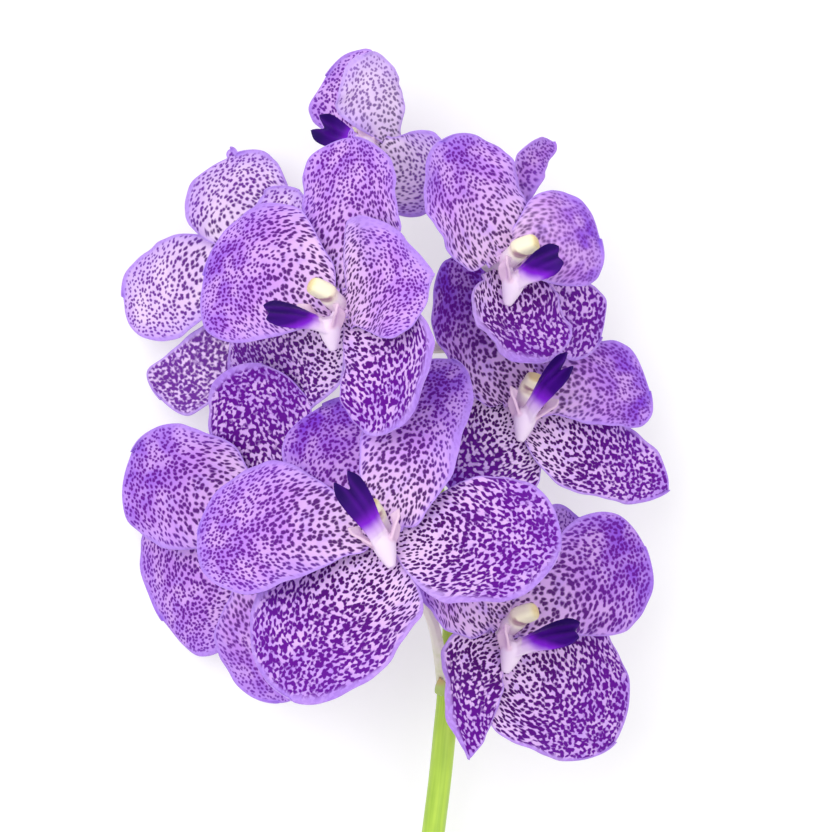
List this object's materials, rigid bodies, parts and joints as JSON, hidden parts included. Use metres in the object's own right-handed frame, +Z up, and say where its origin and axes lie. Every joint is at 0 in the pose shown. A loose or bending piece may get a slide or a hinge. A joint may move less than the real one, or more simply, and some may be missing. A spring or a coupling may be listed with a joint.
{
  "type": "cut vanda orchid",
  "caption": "Cut orchid spray lying on a surface: round waved violet blooms with dark spotted sepals and petals, a forked lip and a cream column, on one bare green stalk.",
  "frame": {"origin": "middle of the base of the bounding box, on the surface that the spray lies on", "axes": "+Y along the spray from the cut end of the stalk to its tip, +Z up off the surface towards the viewer, +X to the right"},
  "size_m": [0.1694, 0.344, 0.1005],
  "materials": {
    "sepal": "satin violet flesh with dark spots",
    "petal": "satin violet flesh with dark spots",
    "column": "waxy cream with a pale yellow cap",
    "lip": "satin indigo, white at the throat",
    "stalk": "smooth yellow green, whitish flower stems"
  },
  "bodies": {
    "root": {"bloom_a_dorsal_sepal": "sepal", "bloom_a_left_petal": "petal", "bloom_a_right_petal": "petal", "bloom_a_left_lateral_sepal": "sepal", "bloom_a_right_lateral_sepal": "sepal", "bloom_a_column": "column", "bloom_a_lip": "lip", "bloom_b_dorsal_sepal": "sepal", "bloom_b_left_petal": "petal", "bloom_b_right_petal": "petal", "bloom_b_left_lateral_sepal": "sepal", "bloom_b_right_lateral_sepal": "sepal", "bloom_b_column": "column", "bloom_b_lip": "lip", "bloom_c_dorsal_sepal": "sepal", "bloom_c_left_petal": "petal", "bloom_c_right_petal": "petal", "bloom_c_left_lateral_sepal": "sepal", "bloom_c_right_lateral_sepal": "sepal", "bloom_c_column": "column", "bloom_c_lip": "lip", "bloom_d_dorsal_sepal": "sepal", "bloom_d_left_petal": "petal", "bloom_d_right_petal": "petal", "bloom_d_left_lateral_sepal": "sepal", "bloom_d_right_lateral_sepal": "sepal", "bloom_d_column": "column", "bloom_d_lip": "lip", "bloom_e_dorsal_sepal": "sepal", "bloom_e_left_petal": "petal", "bloom_e_right_petal": "petal", "bloom_e_left_lateral_sepal": "sepal", "bloom_e_right_lateral_sepal": "sepal", "bloom_e_column": "column", "bloom_e_lip": "lip", "bloom_f_dorsal_sepal": "sepal", "bloom_f_left_petal": "petal", "bloom_f_right_petal": "petal", "bloom_f_left_lateral_sepal": "sepal", "bloom_f_right_lateral_sepal": "sepal", "bloom_f_column": "column", "bloom_f_lip": "lip", "bloom_g_dorsal_sepal": "sepal", "bloom_g_left_petal": "petal", "bloom_g_right_petal": "petal", "bloom_g_left_lateral_sepal": "sepal", "bloom_g_right_lateral_sepal": "sepal", "bloom_g_column": "column", "bloom_g_lip": "lip", "bloom_h_dorsal_sepal": "sepal", "bloom_h_left_petal": "petal", "bloom_h_right_petal": "petal", "bloom_h_left_lateral_sepal": "sepal", "bloom_h_right_lateral_sepal": "sepal", "bloom_h_column": "column", "bloom_h_lip": "lip", "flower_stalk": "stalk"}
  },
  "joints": []
}
